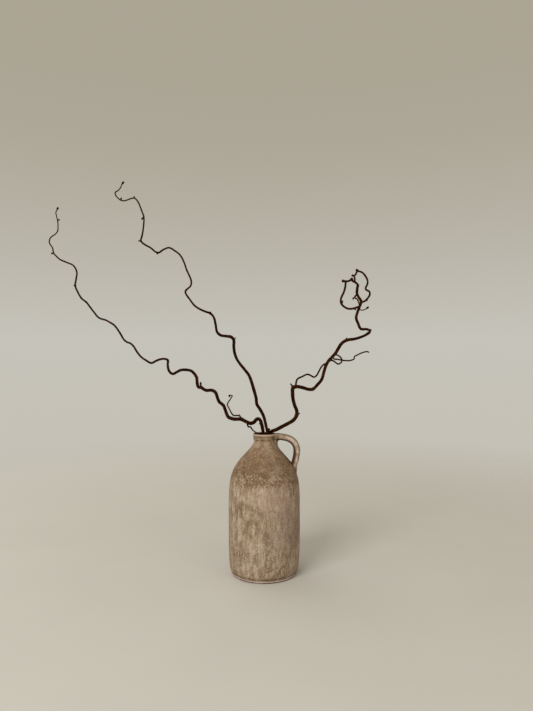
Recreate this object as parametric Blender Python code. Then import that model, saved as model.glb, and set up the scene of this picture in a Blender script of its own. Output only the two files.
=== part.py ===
# Stoneware jug with one strap handle, holding three dry twisted hazel branches.
# The frame's origin is the middle of the jug's foot, +Z is up, the handle is on +X
# and the front faces -Y.
import math

import bmesh
import bpy
from mathutils import Vector
from mathutils.geometry import interpolate_bezier

for old in list(bpy.data.objects):
    bpy.data.objects.remove(old)

MM = 0.001
GAP = 0.3

# Jug, in millimetres
RIM_HEIGHT = 300
BODY_RADIUS = 77.2
WALL = 6
FLOOR_HEIGHT = 8
STRAP_THICKNESS = 14.2
STRAP_WIDTH = 21
JUG_SEGMENTS = 44

# Branches: butt and tip radii in millimetres, as thick as a pencil below and a match above
LEFT_BUTT, LEFT_TIP = 3.65, 0.9
MIDDLE_BUTT, MIDDLE_TIP = 3.1, 0.8
RIGHT_BUTT, RIGHT_TIP = 3.8, 2.1
BUD_RADIUS = 2.2

# The branches' routes are laid out on the upright plane through the jug's axis, as seen
# from this point in front of it, and each point is then moved back along its line of sight.
EYE = Vector((4.8, -1171.6, 446.3))


def smooth(points, steps):
    """A rounded line through points set by hand, with steps pieces between two of them."""
    points = [Vector(p) for p in points]
    line = [points[0]]
    for i, (a, b) in enumerate(zip(points, points[1:])):
        before = points[max(i - 1, 0)]
        after = points[min(i + 2, len(points) - 1)]
        reach = (b - a).length / 3
        leave = a + (b - before).normalized() * reach
        arrive = b - (after - a).normalized() * reach
        line += [Vector(p) for p in interpolate_bezier(a, leave, arrive, b, steps + 1)[1:]]
    return line


def material(name, colour, roughness):
    mat = bpy.data.materials.new(name)
    mat.use_nodes = True
    shader = mat.node_tree.nodes["Principled BSDF"]
    shader.inputs["Base Color"].default_value = (*colour, 1.0)
    shader.inputs["Roughness"].default_value = roughness
    shader.inputs["Metallic"].default_value = 0.0
    return mat


def evaluated_mesh(obj):
    depsgraph = bpy.context.evaluated_depsgraph_get()
    return bpy.data.meshes.new_from_object(obj.evaluated_get(depsgraph))


def add_object(name, data):
    obj = bpy.data.objects.new(name, data)
    bpy.context.collection.objects.link(obj)
    return obj


def weld(mesh):
    """Closes the seams between a tube's wall and its caps and turns the faces out."""
    work = bmesh.new()
    work.from_mesh(mesh)
    bmesh.ops.remove_doubles(work, verts=work.verts, dist=0.001 * MM)
    bmesh.ops.recalc_face_normals(work, faces=work.faces)
    work.to_mesh(mesh)
    work.free()


def turned(name, profile):
    """A solid of revolution from a profile that runs from the axis, down the outside, to the axis."""
    mesh = bpy.data.meshes.new(name)
    points = [(r * MM, 0, z * MM) for r, z in profile]
    mesh.from_pydata(points, [(i, i + 1) for i in range(len(points) - 1)], [])
    obj = add_object(name, mesh)
    screw = obj.modifiers.new("turn", "SCREW")
    screw.angle = math.tau
    screw.steps = screw.render_steps = JUG_SEGMENTS
    screw.use_merge_vertices = True
    screw.merge_threshold = 0.00001
    return obj


def tube(name, line, radii, section=None):
    """A closed tube along a line in millimetres: six-sided, or with the section of a strap."""
    curve = bpy.data.curves.new(name, "CURVE")
    curve.dimensions = "3D"
    curve.use_fill_caps = True
    if section is None:
        curve.bevel_depth = MM
        curve.bevel_resolution = 1
    else:
        curve.bevel_mode = "OBJECT"
        curve.bevel_object = section
    spline = curve.splines.new("POLY")
    spline.points.add(len(line) - 1)
    for point, place, radius in zip(spline.points, line, radii):
        point.co = (*(place * MM), 1.0)
        point.radius = radius
    guide = add_object(name, curve)
    mesh = evaluated_mesh(guide)
    bpy.data.objects.remove(guide)
    weld(mesh)
    return add_object(name, mesh)


def boolean(obj, operation, other):
    """One Boolean on an object or on a collection, applied, with the others removed."""
    cut = obj.modifiers.new(operation.lower(), "BOOLEAN")
    cut.operation = operation
    cut.solver = "EXACT"
    if isinstance(other, bpy.types.Collection):
        cut.operand_type = "COLLECTION"
        cut.collection = other
        used = list(other.objects)
    else:
        cut.object = other
        used = [other]
    mesh = evaluated_mesh(obj)
    obj.modifiers.clear()
    obj.data = mesh
    for piece in used:
        bpy.data.objects.remove(piece)


# The jug's outline in millimetres, radius and height. The lip is rounded, a shallow groove
# parts it from a second band, and the neck spreads into a full shoulder. The foot is a
# narrow plain ring under the body's rounded lower edge.
LIP = [(21.8, 299.6), (23.4, 299.3), (24.4, 298), (24.7, 295.8), (24.4, 293.2)]
BAND = [(23.7, 291.6), (24.3, 289.4), (24.1, 287.0), (22.8, 285.2)]
SHOULDER = [(22.3, 281.5), (24.3, 276.5), (30.2, 268.3), (44.2, 253), (59.4, 234.7), (69.5, 216)]
BODY = [(BODY_RADIUS - 1.8, 192), (BODY_RADIUS, 165), (BODY_RADIUS, 60), (BODY_RADIUS - 1.3, 30)]
BODY += [(BODY_RADIUS - 3, 12), (71.6, 4.0)]
FOOT = [(70.6, 3.0), (70.0, 1.0), (68.8, 0.0)]

# The hollow inside, with a thinner wall in the neck, down to the floor the branches stand on
MOUTH = [(22.6, 300.4), (21.2, 299.2), (20.1, 297), (19, 294), (18.4, 290)]
INSIDE = [(18.4, 278), (21.5, 269.6), (26.6, 263.7), (40.3, 248.7), (55.2, 230.5), (64.2, 213)]
WELL = [(69.6, 190), (BODY_RADIUS - WALL, 163), (BODY_RADIUS - WALL, 60), (70.2, 32), (66, 14)]
WELL += [(58, FLOOR_HEIGHT), (0, FLOOR_HEIGHT)]


def make_jug():
    outline = [(0, RIM_HEIGHT - 1)] + LIP + BAND + smooth(SHOULDER + BODY, 2) + FOOT + [(0, 0)]
    jug = turned("jug", outline)

    # The strap handle leaves the collar level, turns over and runs down into the shoulder.
    route = [(20, 292.3), (32, 292), (43, 290.6), (53, 287.9), (61.2, 283.3), (67, 276.6)]
    route += [(70.3, 268), (70.8, 258.5), (69.5, 248.5), (67.4, 239), (65.6, 230)]
    route += [(64.6, 221), (64.6, 212), (64.4, 204)]
    line = [Vector((x, 0, z)) for x, z in smooth(route, 2)]
    ring = bpy.data.curves.new("strap_section", "CURVE")
    spline = ring.splines.new("POLY")
    spline.points.add(13)
    spline.use_cyclic_u = True
    for i, point in enumerate(spline.points):
        turn = math.tau * (i + 0.5) / 14
        squared = 1 / (abs(math.cos(turn)) ** 2.6 + abs(math.sin(turn)) ** 2.6) ** (1 / 2.6)
        wide = STRAP_WIDTH / 2 * MM * squared * math.sin(turn)
        thick = STRAP_THICKNESS / 2 * MM * squared * math.cos(turn)
        point.co = (wide, thick, 0, 1)
    section = add_object("strap_section", ring)
    section.hide_render = True
    section.display_type = "WIRE"
    strap = tube("strap", line, [1.0] * len(line), section)
    bpy.data.objects.remove(section)
    boolean(jug, "UNION", strap)

    # Clay thumbed into the corner between the neck and the strap's upper root
    web = [Vector((x, 0, z)) for x, z in ((21, 292), (22, 286), (22.2, 279), (21.5, 271), (20, 264))]
    boolean(jug, "UNION", tube("web", web, [6.5, 8, 8.2, 8, 6]))

    above = RIM_HEIGHT + 20
    hollow = [(0, above), (MOUTH[0][0], above)] + MOUTH + INSIDE + WELL
    boolean(jug, "DIFFERENCE", turned("hollow", hollow))
    weld(jug.data)
    jug.data.shade_smooth()
    jug.data.set_sharp_from_angle(angle=math.radians(40))
    jug.data.materials.append(material("chalky stoneware", (0.30, 0.22, 0.15), 0.92))


# Each branch: the part inside the jug in its real place (across, up, back), then the part
# above the mouth on the jug's plane (across, up), all in millimetres.
LEFT_FOOT = [(45.4, -2, -29.2), (21.2, 150, -6.5), (3.9, 258, 9.6)]
LEFT = [(-2.4, 300), (-4, 310), (-6.5, 321), (-8.8, 327), (-13, 330.5), (-17.4, 329), (-20.6, 325)]
LEFT += [(-25, 322)]
LEFT += [(-31, 321), (-39, 324), (-45, 327), (-51, 330), (-58, 330), (-65, 330), (-73, 332)]
LEFT += [(-79, 335), (-83, 343), (-86, 351), (-89, 359), (-93, 363), (-99, 368), (-103, 378)]
LEFT += [(-107, 388), (-115, 393), (-127, 393), (-135, 397), (-139, 400), (-144, 400), (-147, 408)]
LEFT += [(-148, 418), (-150, 424), (-154, 430), (-161, 436), (-173, 438), (-184, 437), (-192, 433)]
LEFT += [(-200, 429), (-205, 431), (-210, 438), (-212, 450), (-212, 459), (-219, 462), (-229, 461)]
LEFT += [(-239, 457), (-248, 453), (-260, 459), (-271, 467), (-280, 478), (-286, 488), (-294, 496)]
LEFT += [(-302, 499), (-309, 505), (-316, 517), (-324, 529), (-331, 537), (-339, 542), (-348, 547)]
LEFT += [(-363, 552), (-374, 564), (-384, 577), (-392, 587), (-402, 595), (-410, 608), (-416, 623)]
LEFT += [(-414, 639), (-413, 654), (-421, 668), (-434, 674), (-450, 681), (-458, 688), (-464, 695)]
LEFT += [(-467, 707), (-472, 714), (-474, 721), (-472, 728), (-467, 733), (-462, 736), (-456, 743)]
LEFT += [(-455, 750), (-455, 757), (-456, 767), (-458, 775), (-460, 785), (-458, 790), (-455, 797)]

MIDDLE_FOOT = [(53.4, -2, 14.9), (29.7, 155, 0.6), (13.8, 260, -8.9)]
MIDDLE = [(7, 302), (5, 310), (2, 324), (-2, 338), (-9, 351), (-16, 362), (-18, 376), (-23, 394)]
MIDDLE += [(-29, 414), (-35, 428), (-47, 443), (-59, 459), (-65, 474), (-67, 490), (-67, 503)]
MIDDLE += [(-73, 510), (-85, 512), (-96, 514), (-104, 522), (-107, 537), (-111, 553), (-119, 562)]
MIDDLE += [(-130, 566), (-143, 572), (-154, 580), (-164, 593), (-173, 606), (-173, 612), (-162, 623)]
MIDDLE += [(-161, 634), (-166, 647), (-171, 658), (-177, 675), (-185, 690), (-197, 700), (-210, 707)]
MIDDLE += [(-222, 703), (-235, 696), (-251, 707), (-265, 715), (-272, 722), (-270, 732), (-268, 742)]
MIDDLE += [(-266, 761), (-266, 776), (-270, 787), (-274, 798), (-278, 807), (-283, 814), (-288, 817)]
MIDDLE += [(-294, 816), (-300, 814), (-305, 812), (-311, 811), (-316, 812), (-322, 816), (-326, 820)]
MIDDLE += [(-329, 825), (-329, 830), (-324, 833), (-320, 837), (-317, 841), (-315, 847), (-310, 854)]

RIGHT_FOOT = [(-38, -2, 0), (-17.5, 145, 0), (-0.8, 262, 0), (3, 282, 0), (8, 294.5, 0)]
RIGHT = [(16, 303), (26, 307), (39, 314), (55, 322), (65, 329), (71, 339), (71, 349), (67, 359)]
RIGHT += [(63, 374), (62, 387), (62, 395), (64, 399), (69, 401), (75, 401), (88, 398), (98, 395)]
RIGHT += [(107, 396), (116, 405), (126, 417), (130, 430), (134, 444), (140, 456), (147, 464)]
RIGHT += [(156, 474), (162, 484), (169, 495), (181, 503), (199, 506), (215, 511), (228, 518)]
RIGHT += [(232, 523), (225, 527), (212, 528), (206, 540), (202, 552), (205, 565), (210, 578)]
RIGHT += [(213, 588), (208, 597), (204, 605), (204, 614), (206, 625)]


def sight(across, up, back):
    """The place behind or before the jug's plane that covers a point of it."""
    return EYE + (Vector((across, 0, up)) - EYE) * (1 + back / -EYE.y)


def climb(foot, route, start, lean, curl, pitch, turn):
    """A stem's points: its straight foot, then its route with a corkscrew's swing in depth."""
    points = [Vector((across, back, up)) for across, up, back in foot]
    run = 0
    for i, place in enumerate(route):
        run += math.dist(place, route[i - 1]) if i else 0
        swing = curl * min(run / 80, 1) * math.sin(math.tau * (run / pitch + turn))
        points.append(sight(*place, start + lean * run + swing))
    return points


def stem(name, points, butt, tip, swell, knots, bud):
    """The main stem, thick at the butt, swollen at its knots and cut level at its foot."""
    line = smooth(points, 2)
    runs = [0.0]
    for a, b in zip(line, line[1:]):
        runs.append(runs[-1] + (b - a).length)
    mouth = next(run for run, p in zip(runs, line) if p.z > RIM_HEIGHT)
    radii = []
    for run in runs:
        up = max(0, (run - mouth) / (runs[-1] - mouth))
        radii.append(tip + (butt - tip) * ((1 - swell) * (1 - up) + swell * math.exp(-8 * up)))
    for knot in knots:
        radii[knot * 2] *= 1.28
    if bud:
        radii[-3:] = [radii[-3] * 1.1, BUD_RADIUS, 0.4 * BUD_RADIUS]
    body = tube(name, line, radii)

    work = bmesh.new()
    work.from_mesh(body.data)
    everything = work.verts[:] + work.edges[:] + work.faces[:]
    level = (0, 0, (FLOOR_HEIGHT + GAP) * MM)
    bmesh.ops.bisect_plane(work, geom=everything, plane_co=level, plane_no=(0, 0, 1), clear_inner=True)
    bmesh.ops.holes_fill(work, edges=[e for e in work.edges if e.is_boundary], sides=0)
    bmesh.ops.recalc_face_normals(work, faces=work.faces)
    work.to_mesh(body.data)
    work.free()
    return body


def shoot(twigs, root, route, start, end, bud=False):
    """A twig from a point inside its stem; each point gives across, up and back from there."""
    points = [root] + [sight(across, up, root.y + back) for across, up, back in route]
    line = smooth(points, 2)
    radii = [start + (end - start) * i / (len(line) - 1) for i in range(len(line))]
    if bud:
        radii[-3:] = [end, BUD_RADIUS * 0.8, BUD_RADIUS * 0.35]
    piece = tube("twig", line, radii)
    bpy.context.collection.objects.unlink(piece)
    twigs.objects.link(piece)
    return points


def finish_branch(body, twigs, colour):
    boolean(body, "UNION", twigs)
    weld(body.data)
    body.data.shade_smooth()
    body.data.materials.append(material(body.name + " bark", colour, 0.75))
    bpy.data.collections.remove(twigs)


def spur(twigs, root, tip, radius):
    """A short spur, bud or snag from a point in the stem to a tip set as across, up, back."""
    shoot(twigs, root, [tip], radius, radius * 0.6)


def make_left():
    foot = len(LEFT_FOOT)
    points = climb(LEFT_FOOT, LEFT, 15.5, 0.085, 10, 104, 0.02)
    knots = [foot + i for i in (11, 26, 40, 60, 63, 80)]
    body = stem("branch_left", points, LEFT_BUTT, LEFT_TIP, 0.36, knots, True)
    twigs = bpy.data.collections.new("left twigs")

    # Upper twig: rises beside the stem and hooks back over at its tip
    route = [(-52, 333, -1), (-54, 337, -2), (-61, 338, -4), (-67, 338, -6), (-71, 342, -9)]
    route += [(-75, 349, -12), (-78, 355, -14), (-81, 362, -15), (-79, 367, -15), (-75, 373, -14)]
    route += [(-72, 378, -12), (-70, 381, -10), (-74, 382, -8), (-79, 381, -7)]
    shoot(twigs, points[foot + 11], route, 1.5, 0.8, True)

    # Lower twig: drops over the lip into the mouth
    route = [(-37, 320, -2), (-36, 315, -5), (-34, 313, -8), (-30, 313, -11), (-27, 308, -14)]
    route += [(-23, 304, -17), (-18, 301, -19), (-12, 297, -21)]
    shoot(twigs, points[foot + 9], route, 1.5, 1.0)

    for index, tip, radius in (
        (2, (-15, 319, -2), 1.2), (26, (-142, 411, 0), 2.1), (29, (-145, 422, 1), 1.2),
        (63, (-419, 624, -1), 1.4), (70, (-469, 695, -2), 1.9), (80, (-452, 769, -1), 1.5),
    ):
        spur(twigs, points[foot + index], tip, radius)
    finish_branch(body, twigs, (0.055, 0.028, 0.014))


def make_middle():
    foot = len(MIDDLE_FOOT)
    points = climb(MIDDLE_FOOT, MIDDLE, -12.0, 0.05, 11, 118, 0.9)
    knots = [foot + i for i in (15, 21, 27, 37, 40, 58)]
    body = stem("branch_middle", points, MIDDLE_BUTT, MIDDLE_TIP, 0.12, knots, True)
    twigs = bpy.data.collections.new("middle twigs")
    for index, tip, radius in (
        (0, (12, 310, -2), 2.4), (14, (-64, 508, -2), 2.0), (21, (-118, 566, 2), 1.7),
        (40, (-277, 722, 1), 1.5), (44, (-270, 770, -2), 1.5), (49, (-287, 821, 1), 1.2),
        (54, (-316, 818, -2), 1.6),
    ):
        spur(twigs, points[foot + index], tip, radius)
    finish_branch(body, twigs, (0.060, 0.032, 0.018))


def make_right():
    foot = len(RIGHT_FOOT)
    points = climb(RIGHT_FOOT, RIGHT, 0, -0.07, 9, 96, 0.45)
    knots = [foot + i for i in (5, 11, 16, 26, 29, 37)]
    body = stem("branch_right", points, RIGHT_BUTT, RIGHT_TIP, 0.12, knots, False)
    twigs = bpy.data.collections.new("right twigs")

    # Long thin twig: climbs beside the stem, coils once round its back and trails off right
    route = [(70, 411, -1), (73, 418, 1), (83, 423, 4), (94, 428, 6), (101, 426, 7), (109, 422, 8)]
    route += [(115, 426, 9), (120, 435, 10), (125, 444, 10), (131, 450, 10), (138, 453, 10)]
    route += [(147, 459, 8), (154, 456, 4), (161, 451, 0), (166, 452, -4), (170, 457, -6)]
    route += [(169, 463, -6), (163, 469, -3), (156, 471, 3), (150, 468, 9), (153, 462, 13)]
    route += [(161, 461, 14), (171, 459, 13), (185, 458, 12), (194, 460, 11), (197, 462, 11)]
    route += [(198, 467, 11), (207, 472, 12), (216, 476, 13), (226, 478, 14), (230, 476, 14)]
    shoot(twigs, points[foot + 12], route, 1.6, 0.9)

    # Head: the stem's end turns left, a left loop and a right loop curl round it
    route = [(201, 630, -2), (194, 634, -4), (193, 639, -5), (189, 635, -6), (184, 633, -7)]
    route += [(178, 633, -8), (173, 634, -8)]
    shoot(twigs, points[foot + 41], route, 1.7, 1.1, True)

    route = [(200, 574, -4), (189, 572, -8), (180, 574, -10), (171, 581, -11), (168, 589, -10)]
    route += [(170, 598, -8), (175, 609, -6), (178, 620, -3), (179, 630, 0)]
    loop = shoot(twigs, points[foot + 36], route, 1.9, 1.4)
    spur(twigs, loop[1], (200, 569, -1), 1.2)
    hook = [(206, 590, 5), (202, 595, 7), (197, 596, 6), (195, 592, 5)]
    shoot(twigs, points[foot + 36], hook, 1.3, 0.9, True)

    route = [(219, 588, 3), (227, 595, 6), (232, 603, 9), (231, 610, 11), (223, 616, 12)]
    route += [(227, 627, 12), (227, 635, 11), (224, 642, 8), (217, 651, 4), (208, 655, 0)]
    route += [(204, 654, -4), (201, 648, -7), (198, 644, -8), (199, 640, -8), (199, 633, -8)]
    loop = shoot(twigs, points[foot + 37], route, 1.9, 1.3)
    spur(twigs, loop[10], (200, 660, 0), 1.2)
    spur(twigs, loop[13], (192, 646, -1), 1.2)

    route = [(210, 570, 2), (215, 569, 4), (222, 571, 6), (230, 577, 8)]
    shoot(twigs, points[foot + 35], route, 1.2, 0.8, True)

    for index, tip, radius in (
        (5, (77, 342, -1), 1.9), (11, (58, 407, 1), 2.5), (26, (180, 507, -1), 1.8),
        (30, (234, 523, 0), 2.4), (39, (198, 597, 3), 1.3),
    ):
        spur(twigs, points[foot + index], tip, radius)
    finish_branch(body, twigs, (0.050, 0.025, 0.011))


make_jug()
make_left()
make_middle()
make_right()
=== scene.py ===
import math

import bmesh
import bpy
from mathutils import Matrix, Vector, noise
from mathutils.geometry import interpolate_bezier
from mathutils.kdtree import KDTree


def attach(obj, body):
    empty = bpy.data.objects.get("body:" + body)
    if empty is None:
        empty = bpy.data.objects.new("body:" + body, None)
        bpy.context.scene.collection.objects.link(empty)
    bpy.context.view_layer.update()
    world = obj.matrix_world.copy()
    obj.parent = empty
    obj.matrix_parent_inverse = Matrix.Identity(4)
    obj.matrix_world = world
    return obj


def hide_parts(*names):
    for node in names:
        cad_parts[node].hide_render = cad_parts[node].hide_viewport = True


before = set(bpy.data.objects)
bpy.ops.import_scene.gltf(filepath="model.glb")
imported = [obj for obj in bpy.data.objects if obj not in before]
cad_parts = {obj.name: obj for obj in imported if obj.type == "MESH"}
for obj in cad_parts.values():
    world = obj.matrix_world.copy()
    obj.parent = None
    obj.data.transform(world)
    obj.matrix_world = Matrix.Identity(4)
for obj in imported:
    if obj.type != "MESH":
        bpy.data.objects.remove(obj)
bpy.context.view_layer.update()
MM = 0.001

# The camera stands 1.2 m before the jug, level with the lowest twigs, and looks
# very slightly up, so the jug's mouth is seen almost edge on.
EYE = Vector((4.8, -1171.6, 446.3))
view_data = bpy.data.cameras.new("camera")
view_data.lens = 27.03
view_data.sensor_width = 36
camera = bpy.data.objects.new("camera", view_data)
camera.location = EYE * MM
camera.rotation_euler = (math.radians(91.13), 0, 0)
bpy.context.collection.objects.link(camera)
bpy.context.scene.camera = camera
bpy.context.scene.view_settings.view_transform = "Standard"


# Jug: thrown stoneware with a collared neck, hollow, with a pulled strap handle pressed on
# at the collar and at the shoulder before firing, under a chalky wash that has worn off
# in patches.

# Its outline is radius and height, from the lip down the outside to the foot, then the
# hollow from the mouth down inside. The strap and the web are read on the +X side.
LIP = [(21.8, 299.6), (23.4, 299.3), (24.4, 298), (24.7, 295.8), (24.5, 293.4)]
BAND = [(23.6, 291.7), (24.2, 289.4), (23.9, 287.0), (22.7, 284.9)]
SHOULDER = [(22.3, 281.5), (24.3, 276.5), (30.2, 268.3), (44.2, 253), (59.4, 234.7), (69.5, 216)]
BODY = [(75.4, 192), (77.2, 165), (77.2, 60), (75.9, 30), (74.2, 12), (71.6, 4.0)]
FOOT = [(71.2, 3.2), (70.9, 2.2), (70.4, 1.2), (69.8, 0.5), (68.8, 0.0)]
MOUTH = [(22.6, 300.4), (21.2, 299.2), (20.1, 297), (19, 294), (18.4, 290)]
INSIDE = [(18.4, 278), (21.5, 269.6), (26.6, 263.7), (40.3, 248.7), (55.2, 230.5), (64.2, 213)]
INSIDE += [(69.6, 190), (71.2, 163), (71.2, 60), (70.2, 32), (66, 14), (58, 8)]
STRAP = [(20, 292.3), (32, 292), (43, 290.6), (53, 287.9), (61.2, 283.3), (67, 276.6)]
STRAP += [(70.3, 268), (70.8, 258.5), (69.5, 248.5), (67.4, 239), (65.6, 230)]
STRAP += [(64.6, 221), (64.6, 212), (64.4, 204)]
WEB = [(21, 292), (22, 286), (22.6, 279), (23.4, 271), (25, 263), (27, 256)]
FLOOR_INSIDE = 8
ABOVE_MOUTH = 320
WHEEL_STEPS = 176
COLLAR_STEPS = 4
CLAY_STEP = 2.4


def rounded(points, steps):
    """A rounded line through given points, with steps pieces between two of them."""
    points = [Vector(p) for p in points]
    line = [points[0]]
    for i, (a, b) in enumerate(zip(points, points[1:])):
        before = points[max(i - 1, 0)]
        after = points[min(i + 2, len(points) - 1)]
        reach = (b - a).length / 3
        leave = a + (b - before).normalized() * reach
        arrive = b - (after - a).normalized() * reach
        line += [Vector(p) for p in interpolate_bezier(a, leave, arrive, b, steps + 1)[1:]]
    return line


def even_steps(line, step):
    """The same line with its points thinned to about one step apart."""
    kept = [line[0]]
    for place in line[1:-1]:
        if (place - kept[-1]).length >= step:
            kept.append(place)
    return kept + [line[-1]]


def mesh_of(shape, name):
    mesh = bpy.data.meshes.new(name)
    shape.to_mesh(mesh)
    shape.free()
    return mesh


def show(name, mesh):
    piece = bpy.data.objects.new(name, mesh)
    bpy.context.collection.objects.link(piece)
    return piece


def throw_on_wheel(name, outline):
    """Spins an outline of radius and height round the jug's axis into a closed solid."""
    shape = bmesh.new()
    dots = [shape.verts.new((r * MM, 0, z * MM)) for r, z in outline]
    for a, b in zip(dots, dots[1:]):
        shape.edges.new((a, b))
    bmesh.ops.spin(
        shape, geom=shape.verts[:] + shape.edges[:], cent=(0, 0, 0), axis=(0, 0, 1),
        angle=math.tau, steps=WHEEL_STEPS, use_merge=True,
    )
    bmesh.ops.remove_doubles(shape, verts=shape.verts, dist=0.02 * MM)
    bmesh.ops.recalc_face_normals(shape, faces=shape.faces)
    return show(name, mesh_of(shape, name))


def drawn_tube(name, line, radii, sides, section=None):
    """A closed tube along a line, or a strap when it is given a section to follow.

    Its UV map holds millimetres: across is round the tube and up is along it."""
    guide = bpy.data.curves.new(name, "CURVE")
    guide.dimensions = "3D"
    guide.use_fill_caps = True
    guide.bevel_depth = MM
    guide.bevel_resolution = (sides - 4) // 2
    if section is not None:
        guide.bevel_mode = "OBJECT"
        guide.bevel_object = section
    spline = guide.splines.new("POLY")
    spline.points.add(len(line) - 1)
    for dot, place, radius in zip(spline.points, line, radii):
        dot.co = (*(place * MM), 1.0)
        dot.radius = radius
    holder = show(name, guide)
    solid = holder.evaluated_get(bpy.context.evaluated_depsgraph_get())
    mesh = bpy.data.meshes.new_from_object(solid)
    bpy.data.objects.remove(holder)
    length = sum((b - a).length for a, b in zip(line, line[1:]))
    for corner in mesh.uv_layers[0].data:
        corner.uv = (corner.uv[0] * math.tau * radii[0], corner.uv[1] * length)
    return mesh


def closed_up(mesh):
    """Merges the seams of a tube or a joined solid and turns its faces outwards."""
    shape = bmesh.new()
    shape.from_mesh(mesh)
    bmesh.ops.remove_doubles(shape, verts=shape.verts, dist=0.002 * MM)
    bmesh.ops.recalc_face_normals(shape, faces=shape.faces)
    shape.to_mesh(mesh)
    shape.free()
    return mesh


def joined(piece, operation, *others):
    """Adds other solids to a piece, or cuts them from it, and removes them."""
    group = bpy.data.collections.new("others")
    for other in others:
        group.objects.link(other)
    step = piece.modifiers.new("join", "BOOLEAN")
    step.operation = operation
    step.solver = "EXACT"
    step.operand_type = "COLLECTION"
    step.collection = group
    solid = piece.evaluated_get(bpy.context.evaluated_depsgraph_get())
    mesh = bpy.data.meshes.new_from_object(solid)
    piece.modifiers.clear()
    piece.data = mesh
    for other in others:
        bpy.data.objects.remove(other)
    bpy.data.collections.remove(group)


def middle_of(edge):
    return (edge.verts[0].co + edge.verts[1].co) / 2


def map_of(places):
    """Places sorted so that the nearest one to a point is found quickly."""
    tree = KDTree(len(places))
    for i, place in enumerate(places):
        tree.insert(place, i)
    tree.balance()
    return tree


def rub_down(shape, creases, reach, rounds):
    """Smooths the surface for a short way on both sides of its creases, as a wet thumb does."""
    if not creases:
        return
    tree = map_of([middle_of(edge) for edge in creases])
    near = [v for v in shape.verts if tree.find(v.co)[2] < reach * MM]
    for _ in range(rounds):
        bmesh.ops.smooth_vert(
            shape, verts=near, factor=0.5, use_axis_x=True, use_axis_y=True, use_axis_z=True
        )


collar = rounded(LIP + BAND + SHOULDER[:2], COLLAR_STEPS)[:-COLLAR_STEPS]
flank = even_steps(rounded(SHOULDER + BODY, steps=40), CLAY_STEP)
outline = [(0, 299), (20.8, 299.3)] + collar + flank[1:] + FOOT + [(60, 0), (0, 0)]
jug = throw_on_wheel("stoneware_jug", outline)

# The strap's section is a soft oblong, a little flattened on its two wide sides
STRAP_THICKNESS, STRAP_WIDTH = 14.2, 21
STRAP_CORNERS = 28
SQUARENESS = 2.5
ring = bpy.data.curves.new("strap_section", "CURVE")
edge_line = ring.splines.new("POLY")
edge_line.points.add(STRAP_CORNERS - 1)
edge_line.use_cyclic_u = True
for i, dot in enumerate(edge_line.points):
    turn = math.tau * (i + 0.5) / STRAP_CORNERS
    full = abs(math.cos(turn)) ** SQUARENESS + abs(math.sin(turn)) ** SQUARENESS
    squared = full ** (-1 / SQUARENESS)
    wide = STRAP_WIDTH / 2 * MM * squared * math.sin(turn)
    thick = STRAP_THICKNESS / 2 * MM * squared * math.cos(turn)
    dot.co = (wide, thick, 0, 1)
section = show("strap_section", ring)
strap_line = [Vector((x, 0, z)) for x, z in even_steps(rounded(STRAP, steps=12), step=2.2)]
pulled = [1 + 0.02 * noise.noise(place / 17) for place in strap_line]
strap_mesh = drawn_tube("strap", strap_line, pulled, sides=12, section=section)
strap = show("strap", closed_up(strap_mesh))
bpy.data.objects.remove(section)

# A web of clay is thumbed into the corner under the strap's upper end, fullest halfway
web_line = rounded([Vector((x, 0, z)) for x, z in WEB], steps=3)
web_end = len(web_line) - 1
web_radii = [6.8 + 1.9 * math.sin(math.pi * i / web_end) for i in range(web_end + 1)]
web = show("web", closed_up(drawn_tube("web", web_line, web_radii, sides=20)))
joined(jug, "UNION", strap, web)

inner = even_steps(rounded(MOUTH + INSIDE, steps=12), step=5)
mouth_plug = [(0, ABOVE_MOUTH), (MOUTH[0][0], ABOVE_MOUTH)]
hollow = throw_on_wheel("hollow", mouth_plug + inner + [(0, FLOOR_INSIDE)])
STONEWARE = bpy.data.materials.new("chalky_stoneware")
SHADED_BARE_CLAY = bpy.data.materials.new("shaded_bare_clay")
for solid in (jug, hollow):
    solid.data.materials.append(STONEWARE)
    solid.data.materials.append(SHADED_BARE_CLAY)
for face in hollow.data.polygons:
    face.material_index = 1
joined(jug, "DIFFERENCE", hollow)

clay = bmesh.new()
clay.from_mesh(jug.data)
bmesh.ops.remove_doubles(clay, verts=clay.verts, dist=0.03 * MM)
bmesh.ops.dissolve_degenerate(clay, edges=clay.edges, dist=0.02 * MM)
bmesh.ops.triangulate(clay, faces=[f for f in clay.faces if len(f.verts) > 4])
bmesh.ops.recalc_face_normals(clay, faces=clay.faces)


def on_strap(place):
    return place.x > 20 * MM and abs(place.y) < 14 * MM and place.z > 190 * MM


def in_web(place):
    """The corner between the neck and the strap's upper end."""
    return 10 < place.x / MM < 38 and abs(place.y) < 16 * MM and 250 < place.z / MM < 284


# Wet joints are thumbed smooth: widely at the web, less at the strap's foot, and only
# just at the other joints and round the mouth's edge
STRAP_FOOT_TOP, LIP_EDGE = 233, 298.3
SOFT_BEND, SHARP_BEND = 0.2, 0.35
creases, web_creases, root_creases = [], [], []
for edge in clay.edges:
    middle = middle_of(edge)
    bend = edge.calc_face_angle(0.0)
    if bend > SOFT_BEND and in_web(middle):
        web_creases.append(edge)
    elif bend > SOFT_BEND and on_strap(middle) and middle.z < STRAP_FOOT_TOP * MM:
        root_creases.append(edge)
    elif bend > SHARP_BEND and (on_strap(middle) or middle.z > LIP_EDGE * MM):
        creases.append(edge)
seams = [middle_of(edge) for edge in creases if on_strap(edge.verts[0].co)]
rub_down(clay, web_creases, reach=9, rounds=40)
rub_down(clay, root_creases, reach=7, rounds=22)
rub_down(clay, creases, reach=3.4, rounds=7)
clay.normal_update()


def within(share):
    """A share that has run past its ends, brought back between 0 and 1."""
    return min(1, max(0, share))


def hump(value, middle, width):
    """1 at the middle, falling away softly on both sides."""
    return math.exp(-(((value - middle) / width) ** 2))


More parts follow.
